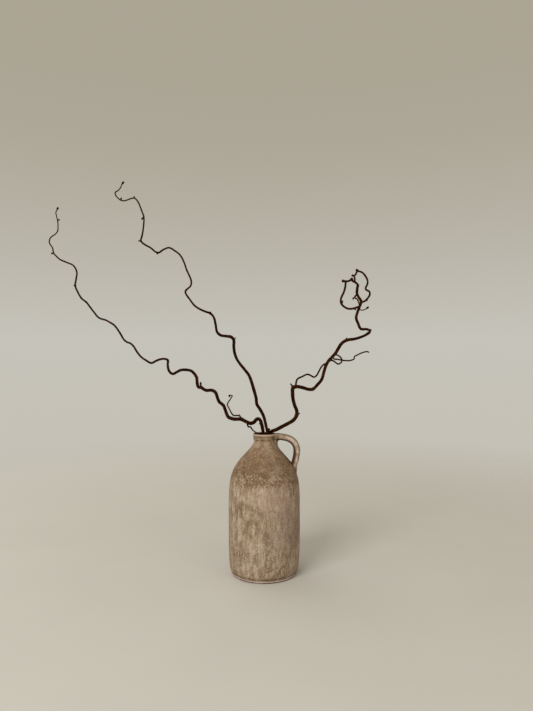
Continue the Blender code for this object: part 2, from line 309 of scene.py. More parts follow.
# Hand-made unevenness: a slow wobble from the wheel, drips of the chalky wash that stand
# a little proud, and pits and crusts along the line where the wash stops on the shoulder.
CRUST_LINE = 211
for dot in clay.verts:
    if all(face.material_index == 1 for face in dot.link_faces):
        continue
    place = dot.co / MM
    if place.z < 0.6:
        continue
    keep = min(1, place.z / 6)  # the foot stays flat
    wobble = 0.45 * noise.noise(place / 62)
    drips = 0.16 * noise.noise(Vector((place.x / 7, place.y / 7, place.z / 48)))
    pits = 0.13 * noise.noise(place / 6.5) + 0.08 * noise.noise(place / 3.6)
    crust = 0.30 * noise.noise(Vector((place.x / 6, place.y / 6, place.z / 5 + 40)))
    crust *= hump(place.z, CRUST_LINE, 12)
    dot.co += dot.normal * (wobble + drips + pits + crust) * keep * MM

# Where the strap's free part begins, and where the collar and the foot are told apart
STRAP_FREE = 27
STRAP_SKIN = 13.5
COLLAR_BASE, COLLAR_RADIUS = 283, 26.5
FOOT_TOP, FOOT_RADIUS = 12, 69
GAP_MIDDLE = Vector((50, 0, 262))

# The collar's grooves: height, width and how much each is darkened
GROOVES = [(292.4, 1.3, 0.5), (286, 1.4, 0.7), (289.6, 1.6, 0.3)]


def strap_marks_and_light(spot, axis_place):
    """Painted shade on the strap's side by the finger gap and at its lower root, darker marks along
    its outer edge and by the collar, dark streaks, and a painted highlight along its back.
    """
    x, y, z = spot / MM
    inwards = (GAP_MIDDLE - axis_place).normalized()
    across = (Vector((x, 0, z)) - axis_place).dot(inwards)
    patch = 0.75 + 1.1 * noise.noise(spot / (6 * MM))
    streak = max(0, noise.noise(Vector((across / 2.2, y / 3.0, (x - z) / 26)))) * 1.5
    off_foot = within((z - 222) / 10)
    # the side facing the finger gap and the lower root get painted shade
    gap_side = (0.2 + 0.7 * off_foot) * within((across - 1.6) / 2.4)
    outer_edge = 0.4 * within((-across - 4.2) / 2.2)
    lower_run = 0.6 * within((264 - z) / 20) * within((across - 0.8) / 2.6)
    by_collar = 0.6 * patch * hump(x, 28, 5) if z > 284 else 0
    darkening = gap_side + 0.35 * streak + outer_edge + lower_run + by_collar
    along = within((x - 30) / 30) * off_foot
    # the pale band along the strap's middle is a painted highlight
    return darkening, 1.1 * patch * along * hump(across, -1.9, 3.2)


def collar_marks_and_light(spot):
    """Darkening in the collar's grooves and by the strap, painted shade over the mouth's edge, and
    a pale lip line that is partly wear and partly a painted highlight.
    """
    x, _, z = spot / MM
    uneven = max(0, 0.75 + 1.5 * noise.noise(spot / (8 * MM)))
    in_grooves = sum(darkening * hump(z, height, width) for height, width, darkening in GROOVES)
    # the mouth's edge and inside get painted shade
    in_mouth = 0.95 * within((z - 298.1) / 0.7)
    by_strap = 0.3 * within((x - 10) / 8) * hump(z, 291, 5)
    # the pale lip line is wear and a painted highlight
    lip = 0.8 * hump(z, 297.4, 0.8)
    return in_mouth + uneven * in_grooves + by_strap, lip


def foot_marks_and_shadow(z):
    """A worn pale ring round the foot, a darker band above it, and painted contact shadow on the
    edge that it stands on.
    """
    above_ring = 0.6 * hump(z, 8.2, 1.8)
    # painted contact shadow along the bottom edge
    under_edge = 0.95 if z < 2.2 else 0
    ring = 0.9 if 2.3 < z < 4.8 else 0
    return above_ring + under_edge, ring


# Marks for the material. The first layer is where the clay is darkened: dirt, and painted shade in
# hollows, in the mouth, under the strap and under the foot. The second is where it is paler: the
# wash worn pale, and painted highlights along the strap and the lip. Both start from how hollow or
# how proud the clay is, averaged over each point's neighbours.
clay.normal_update()
shade_and_dirt = clay.verts.layers.float.new("shade_and_dirt")
wear_and_highlight = clay.verts.layers.float.new("wear_and_highlight")
bends = {}
for dot in clay.verts:
    lifts = [(e.other_vert(dot).co - dot.co).normalized().dot(dot.normal) for e in dot.link_edges]
    bends[dot] = sum(lifts) / len(lifts)
for _ in range(2):
    bends = {
        dot: (bend + sum(bends[e.other_vert(dot)] for e in dot.link_edges))
        / (1 + len(dot.link_edges))
        for dot, bend in bends.items()
    }
seam_map, strap_map = map_of(seams), map_of(strap_line)
for dot, bend in bends.items():
    from_seam = seam_map.find(dot.co)[2]
    root = hump(from_seam, 0, 4.2 * MM)
    # Hollows and the strap's joints are darkened, partly as dirt and partly as painted shade where
    # less light reaches
    darkening = max(0, (bend - 0.03) / 0.14) + 0.75 * root
    pale = max(0, (-bend - 0.07) / 0.13)
    x, y, z = dot.co / MM
    axis_place, _, away = strap_map.find((x, 0, z))
    free_strap = on_strap(dot.co) and x > STRAP_FREE
    # The shoulder beside and under the free strap gets painted shade
    if free_strap and math.hypot(away, y) > STRAP_SKIN:
        darkening = 0.4 + 0.4 * root
    elif free_strap and from_seam > 1.2 * MM:
        more, pale = strap_marks_and_light(dot.co, axis_place)
        darkening += more
    elif z > COLLAR_BASE and math.hypot(x, y) < COLLAR_RADIUS:
        darkening, pale = collar_marks_and_light(dot.co)
    elif z < FOOT_TOP and math.hypot(x, y) > FOOT_RADIUS:
        darkening, pale = foot_marks_and_shadow(z)
    if x < 40 and 250 < z < 286 and on_strap(dot.co):
        darkening *= 0.55  # the thumbed web is darkened less, in dirt and in painted shade
    dot[shade_and_dirt], dot[wear_and_highlight] = min(1, darkening), min(1, pale)
jug.data = mesh_of(clay, "stoneware_jug")
jug.data.materials.append(STONEWARE)
jug.data.materials.append(SHADED_BARE_CLAY)
jug.data.shade_smooth()


def colour(red, green, blue):
    """A colour as the eye reads it, 0 to 255, turned into the share of light it sends back."""
    return tuple((c / 255) ** 2.2 for c in (red, green, blue)) + (1.0,)


def put(tree, kind, sockets, **settings):
    """Adds one node, sets it, and fills or plugs its sockets by name or by number."""
    node = tree.nodes.new(kind)
    for name, value in settings.items():
        setattr(node, name, value)
    for name, value in sockets.items():
        if isinstance(value, bpy.types.NodeSocket):
            tree.links.new(value, node.inputs[name])
        else:
            node.inputs[name].default_value = value
    return node


def grain(tree, coords, scale, stretch=(1, 1, 1), detail=4, rough=0.55, shift=0.0):
    """Cloudy noise of so many patches to the metre, drawn out by stretch."""
    turned = put(
        tree, "ShaderNodeMapping",
        {"Vector": coords, "Scale": tuple(scale * s for s in stretch), "Location": (shift,) * 3},
    )
    node = put(
        tree, "ShaderNodeTexNoise",
        {"Vector": turned.outputs[0], "Scale": 1.0, "Detail": detail, "Roughness": rough},
    )
    return node.outputs["Fac"]


def eased(tree, value, low, high, start=0.0, end=1.0):
    """start below low, end above high, and a smooth change between them."""
    node = put(
        tree, "ShaderNodeMapRange", {0: value, 1: low, 2: high, 3: start, 4: end},
        interpolation_type="SMOOTHSTEP",
    )
    return node.outputs[0]


def sums(tree, operation, a, b):
    return put(tree, "ShaderNodeMath", {0: a, 1: b}, operation=operation).outputs[0]


def plus(tree, a, b):
    return sums(tree, "ADD", a, b)


def times(tree, a, b):
    return sums(tree, "MULTIPLY", a, b)


def belt(tree, value, rise, fall, left=0.0):
    """1 between two places, easing in over rise and out over fall to what is left."""
    return times(tree, eased(tree, value, *rise), eased(tree, value, *fall, 1.0, left))


def distance_from(tree, coords, place):
    node = put(tree, "ShaderNodeVectorMath", {0: coords, 1: place}, operation="DISTANCE")
    return node.outputs["Value"]


def over(tree, share, under, top):
    """Lays one colour over another by a share from 0 to 1."""
    return put(tree, "ShaderNodeMix", {0: share, 6: under, 7: top}, data_type="RGBA").outputs[2]


def graded(tree, value, stops):
    """Reads a colour from a list of places and colours."""
    node = put(tree, "ShaderNodeValToRGB", {0: value})
    stripes = node.color_ramp.elements
    stripes[0].position, stripes[0].color = stops[0]
    stripes[-1].position, stripes[-1].color = stops[-1]
    for place, tint in stops[1:-1]:
        stripes.new(place).color = tint
    return node.outputs[0]


def opened(mat):
    """Turns a material's nodes on, and gives its tree, its shader and its coordinates."""
    mat.use_nodes = True
    tree = mat.node_tree
    return tree, tree.nodes["Principled BSDF"], tree.nodes.new("ShaderNodeTexCoord").outputs


def finished(tree, shader, paint, rough, relief, depth, strength):
    """Plugs in a material's colour and roughness, and its relief as bumps, depth in metres."""
    tree.links.new(paint, shader.inputs["Base Color"])
    tree.links.new(rough, shader.inputs["Roughness"])
    bumps = put(tree, "ShaderNodeBump", {"Height": relief, "Distance": depth, "Strength": strength})
    tree.links.new(bumps.outputs[0], shader.inputs["Normal"])


def chalky_stoneware(mat):
    """Tan clay under a chalky wash that has run down, worn off in patches and left a crust."""
    tree, shader, sources = opened(mat)
    coords = sources["Object"]
    across, _, up = put(tree, "ShaderNodeSeparateXYZ", {0: coords}).outputs

    clay_brown = colour(112, 86, 62)
    wash, wash_mauve = colour(186, 170, 150), colour(141, 117, 105)

    # Height up the jug, made ragged, gives the body, the crust and the browner shoulder
    ragged = sums(tree, "SUBTRACT", grain(tree, coords, 34, detail=7, rough=0.72), 0.5)
    height = plus(tree, up, times(tree, ragged, 0.052))
    height = sums(tree, "DIVIDE", height, 0.3)
    bands = graded(tree, height, [
        (0.0, colour(136, 112, 88)), (0.14, colour(143, 122, 100)), (0.4, colour(148, 127, 105)),
        (0.58, colour(150, 129, 107)), (0.66, colour(138, 115, 91)), (0.70, colour(142, 118, 94)),
        (0.745, colour(112, 87, 61)), (0.79, colour(119, 94, 68)), (0.86, colour(129, 105, 80)),
        (0.91, colour(156, 133, 109)), (1.0, colour(158, 135, 110)),
    ])
    below = eased(tree, height, 0.62, 0.69, 1.0, 0.18)
    patchy_ring = eased(tree, grain(tree, coords, 26, detail=4, shift=8.4), 0.42, 0.56)
    crust = times(tree, belt(tree, height, (0.63, 0.67), (0.72, 0.77)), patchy_ring)
    edge = belt(tree, height, (0.652, 0.668), (0.676, 0.70))
    broken = eased(tree, grain(tree, coords, 60, (1, 1, 0.6), detail=4, shift=4.6), 0.44, 0.56)
    edge_share = times(tree, times(tree, edge, broken), 0.75)
    paint = over(tree, edge_share, bands, clay_brown)

    # Broad clouds, then blots of wash and of bare clay about a thumb's width across
    clouds = grain(tree, coords, 22, detail=4, shift=3.1)
    paint = over(tree, eased(tree, clouds, 0.50, 0.68, 0.0, 0.32), paint, clay_brown)
    paint = over(tree, eased(tree, clouds, 0.36, 0.50, 0.32, 0.0), paint, wash)
    blots = grain(tree, coords, 78, (1, 1, 0.55), detail=6, rough=0.66, shift=9.9)
    blot_share = times(tree, eased(tree, blots, 0.51, 0.62, 0.0, 0.62), below)
    paint = over(tree, blot_share, paint, wash)
    paint = over(tree, eased(tree, blots, 0.38, 0.49, 0.58, 0.0), paint, clay_brown)

    # Runs of the wash: pale and dark, some millimetres wide and a few centimetres long
    runs = grain(tree, coords, 170, (1, 1, 0.24), detail=5, rough=0.62, shift=7.3)
    run_share = times(tree, eased(tree, runs, 0.52, 0.66, 0.0, 0.50), below)
    paint = over(tree, run_share, paint, colour(196, 181, 160))
    paint = over(tree, eased(tree, runs, 0.34, 0.46, 0.42, 0.0), paint, colour(106, 81, 58))

    # The shoulder's own blotches, browner and paler
    blotches = grain(tree, coords, 40, (1, 1, 1.3), detail=5, rough=0.6, shift=18.6)
    high_up = belt(tree, height, (0.68, 0.74), (0.82, 0.93), 0.2)
    dark_share = times(tree, eased(tree, blotches, 0.50, 0.60, 0.0, 0.42), high_up)
    paint = over(tree, dark_share, paint, colour(101, 75, 50))
    pale_share = times(tree, eased(tree, blotches, 0.38, 0.48, 0.40, 0.0), high_up)
    paint = over(tree, pale_share, paint, colour(160, 138, 114))

    # Long scratches of thicker wash down the body
    scratches = grain(tree, coords, 120, (1, 1, 0.13), detail=4, rough=0.6, shift=15.2)
    scratch_share = times(tree, eased(tree, scratches, 0.56, 0.66, 0.0, 0.42), below)
    paint = over(tree, scratch_share, paint, colour(202, 187, 167))

    # A pinker patch of wash at the front, under the crust
    from_patch = distance_from(tree, coords, (0.022, -0.072, 0.172))
    pink_reach = plus(tree, from_patch, times(tree, ragged, 0.10))
    pink_share = eased(tree, pink_reach, 0.018, 0.052, 0.40, 0.0)
    paint = over(tree, pink_share, paint, colour(184, 158, 142))

    # Mauve bloom on the side by the handle
    bloom = grain(tree, coords, 30, detail=6, rough=0.68, shift=11.0)
    side = eased(tree, plus(tree, across, times(tree, bloom, 0.17)), 0.085, 0.135)
    side = times(tree, side, eased(tree, height, 0.34, 0.64, 0.66, 0.0))
    side = times(tree, side, eased(tree, height, 0.16, 0.34, 0.25, 1.0))
    paint = over(tree, side, paint, wash_mauve)

    # Flecks of thick wash and the pits between them, most of both in the crust
    flecks = grain(tree, coords, 290, detail=4, rough=0.7, shift=5.9)
    low_down = eased(tree, height, 0.16, 0.36, 0.45, 0.0)
    fleck_most = plus(tree, plus(tree, times(tree, crust, 0.50), low_down), 0.34)
    fleck_share = times(tree, eased(tree, flecks, 0.53, 0.64), fleck_most)
    paint = over(tree, fleck_share, paint, colour(196, 180, 160))
    pits = grain(tree, coords, 235, (1, 1, 1.4), detail=4, rough=0.65, shift=2.2)
    pit_most = plus(tree, times(tree, crust, 0.85), 0.40)
    pit_share = times(tree, eased(tree, pits, 0.36, 0.47, 1.0, 0.0), pit_most)
    paint = over(tree, pit_share, paint, colour(80, 57, 37))

    # Chips along the lower edge of the crust, where the wash has broken off in a ragged row
    chips = grain(tree, coords, 150, (1, 1, 1.9), detail=3, rough=0.6, shift=12.7)
    row = plus(tree, up, times(tree, ragged, 0.016))
    row = belt(tree, row, (0.198, 0.203), (0.207, 0.213))
    chip_share = times(tree, eased(tree, chips, 0.50, 0.56), row)
    from_chips = distance_from(tree, coords, (0.008, -0.076, 0.205))
    gathered = eased(tree, from_chips, 0.02, 0.06, 0.75, 0.25)
    paint = over(tree, times(tree, chip_share, gathered), paint, colour(88, 62, 40))

    # Worn pale edges with painted highlights on the strap and the lip, then dirt with painted shade
    # in the hollows, grooves and mouth, under the strap and the foot, and at the roots of the
    # handle
    paled = put(tree, "ShaderNodeAttribute", {}, attribute_name="wear_and_highlight").outputs["Fac"]
    darkened = put(tree, "ShaderNodeAttribute", {}, attribute_name="shade_and_dirt").outputs["Fac"]
    patchy = eased(tree, flecks, 0.30, 0.62, 0.55, 1.0)
    # The pale colour is wear and, on the strap and the lip, painted highlight
    paint = over(tree, times(tree, paled, patchy), paint, colour(210, 191, 178))
    # The dark brown is dirt together with painted shade
    paint = over(tree, times(tree, darkened, 0.9), paint, colour(62, 36, 15))

    rough = eased(tree, flecks, 0.35, 0.65, 0.82, 0.96)
    fine = grain(tree, coords, 900, detail=3, rough=0.6)
    relief = times(tree, flecks, plus(tree, times(tree, crust, 1.2), 0.55))
    relief = plus(tree, relief, times(tree, runs, 0.5))
    relief = plus(tree, relief, times(tree, fine, 0.22))
    finished(tree, shader, paint, rough, relief, depth=0.0011, strength=0.75)
    shader.inputs["Specular IOR Level"].default_value = 0.28


def shaded_bare_clay(mat):
    """The unwashed clay inside the jug, dusty, with faint rings from the wheel, its brown darkened
    to near-black as painted shade for the deep mouth.
    """
    tree, shader, sources = opened(mat)
    dust = grain(tree, sources["Object"], 60, detail=5)
    rings = grain(tree, sources["Object"], 40, (0.1, 0.1, 9), detail=2)
    # near-black brown: the clay's own brown darkened as painted shade
    paint = graded(tree, dust, [(0.3, colour(20, 10, 4)), (0.7, colour(38, 22, 12))])
    rough = eased(tree, dust, 0.3, 0.7, 0.85, 0.97)
    finished(tree, shader, paint, rough, rings, depth=0.0008, strength=0.5)
    shader.inputs["Specular IOR Level"].default_value = 0.2


chalky_stoneware(STONEWARE)
shaded_bare_clay(SHADED_BARE_CLAY)
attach(jug, "root")
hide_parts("jug")


# Left branch: one dry hazel stem with its two low twigs and its buds, cut at the foot and
# stood on the jug's floor. It leaves the mouth at the back and climbs far out to the left.

# The route is across and up on the plane through the jug's axis, as the camera sees it, and
# each point is then moved back along its line of sight to give the stem its corkscrew. Its
# foot, out of sight in the jug, is across, up and back.
LEFT_FOOT = [(45.4, -2, -29.2), (21.2, 150, -6.5), (3.9, 258, 9.6)]
LEFT = [(-2.4, 300), (-4, 310), (-6.5, 321), (-8.8, 327), (-13, 330.5), (-17.4, 329)]
LEFT += [(-20.6, 325), (-25, 322), (-31, 321), (-39, 324), (-45, 327), (-51, 330), (-58, 330)]
LEFT += [(-65, 330), (-73, 332), (-79, 335), (-83, 343), (-86, 351), (-89, 359), (-93, 363)]
LEFT += [(-99, 368), (-103, 378), (-107, 388), (-115, 393), (-127, 393), (-135, 397), (-139, 400)]
LEFT += [(-144, 400), (-147, 408), (-148, 418), (-150, 424), (-154, 430), (-161, 436)]
LEFT += [(-173, 438), (-184, 437), (-192, 433), (-200, 429), (-205, 431), (-210, 438)]
LEFT += [(-212, 450), (-212, 459), (-219, 462), (-229, 461), (-239, 457), (-248, 453)]
LEFT += [(-260, 459), (-271, 467), (-280, 478), (-286, 488), (-294, 496), (-302, 499)]
LEFT += [(-309, 505), (-316, 517), (-324, 529), (-331, 537), (-339, 542), (-348, 547)]
LEFT += [(-363, 552), (-374, 564), (-384, 577), (-392, 587), (-402, 595), (-410, 608)]
LEFT += [(-416, 623), (-414, 639), (-413, 654), (-421, 668), (-434, 674), (-450, 681)]
LEFT += [(-458, 688), (-464, 695), (-467, 707), (-472, 714), (-474, 721), (-472, 728)]
LEFT += [(-467, 733), (-462, 736), (-456, 743), (-455, 750), (-455, 757), (-456, 767)]
LEFT += [(-458, 775), (-460, 785), (-458, 790), (-455, 797)]

# Its radius inside the jug, then at shares of the way from the mouth to the tip
LEFT_BUTT = 3.65
LEFT_GIRTH = [(0, 3.8), (0.05, 4.0), (0.11, 3.9), (0.15, 3.5), (0.2, 3.65), (0.27, 3.4)]
LEFT_GIRTH += [(0.33, 3.0), (0.38, 2.55), (0.43, 2.3), (0.5, 2.2), (0.6, 2.0), (0.72, 1.95)]
LEFT_GIRTH += [(0.8, 1.8), (0.87, 1.5), (0.94, 1.25), (1, 1.05)]

FOOT_LEVEL = 8.3
RIM_HEIGHT = 300
ROUTE_STEPS = 12
BARK_SIDES = 12
BARK_STEP = 1.1
FINE_STEP = BARK_STEP * 0.34
BARK_DEPTH = 0.1
KNOT_LENGTH, KNOT_SWELL = 3.4, 0.14
BUD_RADIUS = 2.5

# A bud from its tip down: distance from the tip and thickness, both as shares of its width
BUD = [(0, 0.12), (0.25, 0.42), (0.7, 0.76), (1.3, 0.97), (1.9, 0.98), (2.5, 0.76), (3.2, 0.42)]


def sight(across, up, back):
    """The place behind or before the jug's plane that covers a point of it."""
    return EYE + (Vector((across, 0, up)) - EYE) * (1 + back / -EYE.y)


def climb(foot, route, start, lean, curl, pitch, turn):
    """A stem's points: its straight foot, then its route with a corkscrew's swing in depth."""
    points = [Vector((across, back, up)) for across, up, back in foot]
    run = 0
    for i, place in enumerate(route):
        run += math.dist(place, route[i - 1]) if i else 0
        swing = curl * min(run / 80, 1) * math.sin(math.tau * (run / pitch + turn))
        points.append(sight(*place, start + lean * run + swing))
    return points


def bud_swell(radius, from_tip, bud):
    """The thickness of a twig near its tip, where it swells into a scaly bud."""
    for (a, wide_a), (b, wide_b) in zip(BUD, BUD[1:]):
        if from_tip <= b * bud:
            share = (from_tip / bud - a) / (b - a)
            scales = 1 + 0.07 * (from_tip / (0.75 * bud) % 1)
            swell = bud * (wide_a + (wide_b - wide_a) * share) * scales
            return swell if b < 3 else max(swell, radius)
    return radius


def grown(name, line, thickness, knots=(), bud=0, seed=0):
    """One tube of bark: swollen at its knots, ridged, and ended in a bud."""
    fine = even_steps(line, FINE_STEP)
    total = sum((b - a).length for a, b in zip(fine, fine[1:]))
    run, places, radii, knobs = 0, [], [], []
    last = None
    for i, place in enumerate(fine):
        run += (place - fine[i - 1]).length if i else 0
        step = BARK_STEP if total - run > 4 * max(bud, 1) else FINE_STEP
        if last is not None and run - last < step and i < len(fine) - 1:
            continue
        last = run
        swell = sum(hump(run, knot, KNOT_LENGTH) for knot in knots)
        small = noise.noise(Vector((run / 9, seed, 0.5)))
        radius = thickness(run / total, run) * (1 + KNOT_SWELL * min(swell, 1) + 0.06 * small)
        radius += BARK_DEPTH * within((place.z - RIM_HEIGHT - 2) / 12)
        if bud:
            radius = bud_swell(radius, total - run, bud)
        places.append(place)
        radii.append(radius)
        knobs.append(min(1, swell + (0.7 if bud and total - run < 3 * bud else 0)))
    mesh = drawn_tube(name, places, radii, BARK_SIDES)
    wall = len(mesh.vertices) - BARK_SIDES * len(places)
    marks = mesh.attributes.new("knob", "FLOAT", "POINT").data
    for ring, centre in enumerate(places):
        if ring in (0, len(places) - 1):
            continue
        for side in range(BARK_SIDES):
            spot = wall + ring * BARK_SIDES + side
            dot = mesh.vertices[spot]
            turn = math.tau * (side / BARK_SIDES) * 3 + ring * 0.05
            ridge = 0.035 * math.sin(turn + 2.5 * noise.noise(Vector((ring / 14, seed, 7.5))))
            nick = 0.04 * noise.noise(dot.co / (3.4 * MM))
            dot.co = centre * MM + (dot.co - centre * MM) * (1 + ridge + nick)
            marks[spot].value = knobs[ring]
    return closed_up(mesh)


def stem(name, points, butt, girth, knots, bud):
    """The main stem, cut level where it stands in the jug.

    Its butt fits the neck, and girth gives its radius at shares of the way from there."""
    line = rounded(points, ROUTE_STEPS)
    runs = [0.0]
    for a, b in zip(line, line[1:]):
        runs.append(runs[-1] + (b - a).length)
    mouth = next(run for run, p in zip(runs, line) if p.z > RIM_HEIGHT)

    def thickness(_, run):
        up = (run - mouth) / (runs[-1] - mouth)
        if up <= 0:
            return butt
        (a, thick_a), (b, thick_b) = next(
            pair for pair in zip(girth, girth[1:]) if up <= pair[1][0] + 1e-6
        )
        full = thick_a + (thick_b - thick_a) * (up - a) / (b - a)
        return butt + (full - butt) * min(1, (run - mouth) / 14)

    swellings = [runs[knot * ROUTE_STEPS] for knot in knots]
    mesh = grown(name, line, thickness, swellings, bud, seed=len(points))
    shape = bmesh.new()
    shape.from_mesh(mesh)
    everything = shape.verts[:] + shape.edges[:] + shape.faces[:]
    level = (0, 0, FOOT_LEVEL * MM)
    bmesh.ops.bisect_plane(
        shape, geom=everything, plane_co=level, plane_no=(0, 0, 1), clear_inner=True
    )
    bmesh.ops.holes_fill(shape, edges=[e for e in shape.edges if e.is_boundary], sides=0)
    bmesh.ops.recalc_face_normals(shape, faces=shape.faces)
    shape.to_mesh(mesh)
    shape.free()
    return show(name, mesh)


def shoot(twigs, root, route, start, end, bud=0, seed=None):
    """A twig from a point inside its stem; each point gives across, up and back from there.

    start and end are its radius at its two ends."""
    points = [root] + [sight(across, up, root.y + back) for across, up, back in route]

    def thickness(share, _):
        return start + (end - start) * share

    seed = seed or len(twigs) + 3
    mesh = grown("twig", rounded(points, ROUTE_STEPS), thickness, bud=bud, seed=seed)
    twigs.append(show("twig", mesh))
    return points


def spur(twigs, root, tip, radius, thorn=False):
    """A short spur that ends in one round bud, or a bare thorn that runs to a point."""
    end = sight(*tip[:2], root.y + tip[2])

    def thickness(share, _):
        if thorn:
            return radius * (1 - 0.62 * share)
        belly = 0.72 + 0.28 * hump(share, 0.7, 0.2)
        return radius * belly * math.sqrt(max(0.05, 1 - (max(0, share - 0.74) / 0.26) ** 2))

    mesh = grown("spur", rounded([root, (root + end) / 2, end], steps=16), thickness, seed=5)
    twigs.append(show("spur", mesh))


def bark(name, dark, middle, light):
    """Thin dry brown bark, wrinkled along the twig, with pale pores and dark knots."""
    mat = bpy.data.materials.new(name)
    tree, shader, sources = opened(mat)
    coords, along = sources["Object"], sources["UV"]

    clouds = grain(tree, coords, 95, detail=5, rough=0.6)
    paint = graded(tree, clouds, [(0.30, dark), (0.52, middle), (0.74, light)])
    wrinkles = grain(tree, along, 1.0, (1.3, 0.10, 1), detail=3, rough=0.6)
    paint = over(tree, eased(tree, wrinkles, 0.36, 0.50, 0.65, 0.0), paint, dark)
    paint = over(tree, eased(tree, wrinkles, 0.55, 0.70, 0.0, 0.45), paint, light)

    spaced = put(tree, "ShaderNodeMapping", {"Vector": along, "Scale": (0.34, 0.20, 1.0)})
    pores = put(
        tree, "ShaderNodeTexVoronoi",
        {"Vector": spaced.outputs[0], "Scale": 1.0, "Randomness": 0.9},
    )
    pore_share = eased(tree, pores.outputs["Distance"], 0.08, 0.15, 0.36, 0.0)
    paint = over(tree, pore_share, paint, colour(110, 78, 46))

    knob = put(tree, "ShaderNodeAttribute", {}, attribute_name="knob").outputs["Fac"]
    paint = over(tree, times(tree, knob, 0.4), paint, colour(50, 28, 13))
    rough = eased(tree, clouds, 0.3, 0.7, 0.66, 0.86)
    relief = plus(tree, wrinkles, times(tree, pore_share, 0.6))
    finished(tree, shader, paint, rough, relief, depth=0.0004, strength=0.6)
    shader.inputs["Specular IOR Level"].default_value = 0.03
    return mat


def cut_wood():
    """The sawn or broken face at the end of a stem, greyed and dull."""
    mat = bpy.data.materials.new("cut_wood")
    tree, shader, sources = opened(mat)
    fibre = grain(tree, sources["Object"], 1400, detail=3)
    paint = graded(tree, fibre, [(0.3, colour(92, 78, 62)), (0.7, colour(126, 110, 90))])
    rough = eased(tree, fibre, 0.3, 0.7, 0.75, 0.92)
    finished(tree, shader, paint, rough, fibre, depth=0.0002, strength=0.5)
    return mat


CUT_WOOD = cut_wood()
FORK_BEND = 0.45
END_REACH = 3
FACES_OUT = 0.9


def drop_crumbs(shape):
    """Removes the crumbs that a union can leave where twigs cross, and keeps the branch."""
    unseen = set(shape.faces)
    groups = []
    while unseen:
        group, front = [], [unseen.pop()]
        while front:
            face = front.pop()
            group.append(face)
            plain_edges = [e for e in face.edges if len(e.link_faces) == 2]
            beside = {other for e in plain_edges for other in e.link_faces} & unseen
            unseen -= beside
            front += beside
        groups.append(group)
    groups.sort(key=len)
    crumbs = [face for group in groups[:-1] for face in group]
    bmesh.ops.delete(shape, geom=crumbs, context="FACES")
    bmesh.ops.holes_fill(shape, edges=[e for e in shape.edges if e.is_boundary], sides=0)


def finish_branch(body, twigs, mat, node, ends=()):
    """Joins the twigs to their stem, eases the joints and gives the piece its bark.

    ends are the places and directions of the bare faces where a stem was cut or broke."""
    joined(body, "UNION", *twigs)
    shape = bmesh.new()
    shape.from_mesh(body.data)
    bmesh.ops.remove_doubles(shape, verts=shape.verts, dist=0.01 * MM)
    bmesh.ops.dissolve_degenerate(shape, edges=shape.edges, dist=0.01 * MM)
    drop_crumbs(shape)
    bmesh.ops.triangulate(shape, faces=[f for f in shape.faces if len(f.verts) > 4])
    bmesh.ops.recalc_face_normals(shape, faces=shape.faces)
    above_foot = [e for e in shape.edges if e.verts[0].co.z > 20 * MM]
    creases = [
        e for e in above_foot if not e.is_convex and e.calc_face_angle(0.0) > FORK_BEND
    ]
    rub_down(shape, creases, reach=1.3, rounds=3)
    shape.normal_update()
    for face in shape.faces:
        middle = face.calc_center_median()
        foot = middle.z < (FOOT_LEVEL + 0.1) * MM and face.normal.z < -FACES_OUT
        bare = any(
            (middle - end * MM).length < END_REACH * MM and face.normal.dot(way) > FACES_OUT
            for end, way in ends
        )
        face.material_index = 1 if foot or bare else 0
    body.data = mesh_of(shape, body.name)
    body.data.shade_smooth()
    body.data.set_sharp_from_angle(angle=math.radians(62))
    body.data.materials.clear()
    body.data.materials.append(mat)
    body.data.materials.append(CUT_WOOD)
    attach(body, "root")
    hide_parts(node)


foot = len(LEFT_FOOT)
points = climb(LEFT_FOOT, LEFT, start=15.5, lean=0.085, curl=10, pitch=104, turn=0.02)
knots = [foot + i for i in (11, 26, 40, 60, 63, 80)]
left = stem("left_hazel_branch", points, LEFT_BUTT, LEFT_GIRTH, knots, BUD_RADIUS)
twigs = []

# Upper twig: rises beside the stem and hooks back over at its tip
route = [(-52, 333, -1), (-54, 337, -2), (-61, 338, -4), (-67, 338, -6), (-71, 342, -9)]
route += [(-75, 349, -12), (-78, 355, -14), (-81, 362, -15), (-79, 367, -15), (-75, 373, -14)]
route += [(-72, 378, -12), (-70, 381, -10), (-74, 382, -8), (-79, 381, -7)]
tip = shoot(twigs, points[foot + 11], route, 1.65, 1.05, bud=BUD_RADIUS * 0.8)
spur(twigs, tip[-2], (-78, 378, 0), 1.4)
spur(twigs, tip[2], (-54.5, 341.5, 0), 1.1, thorn=True)

# Lower twig: drops over the lip into the mouth
route = [(-37, 320, -2), (-36, 315, -5), (-34, 313, -8), (-30, 313, -11), (-27, 308, -14)]
route += [(-23, 304, -17), (-18, 301, -19), (-12, 297, -21)]
shoot(twigs, points[foot + 9], route, 1.9, 1.2)

for index, tip, radius in (
    (2, (-11.5, 319.5, -3), 1.8), (26, (-139.8, 411.5, 0), 2.3), (29, (-145, 423, 1), 1.7),
    (63, (-420, 624, -1), 1.6), (70, (-470, 694, -2), 2.2), (80, (-451.5, 770, -1), 1.9),
):
    spur(twigs, points[foot + index], tip, radius)
left_bark = bark("left_bark", colour(27, 13, 2), colour(47, 25, 6), colour(70, 43, 16))
finish_branch(left, twigs, left_bark, "branch_left")


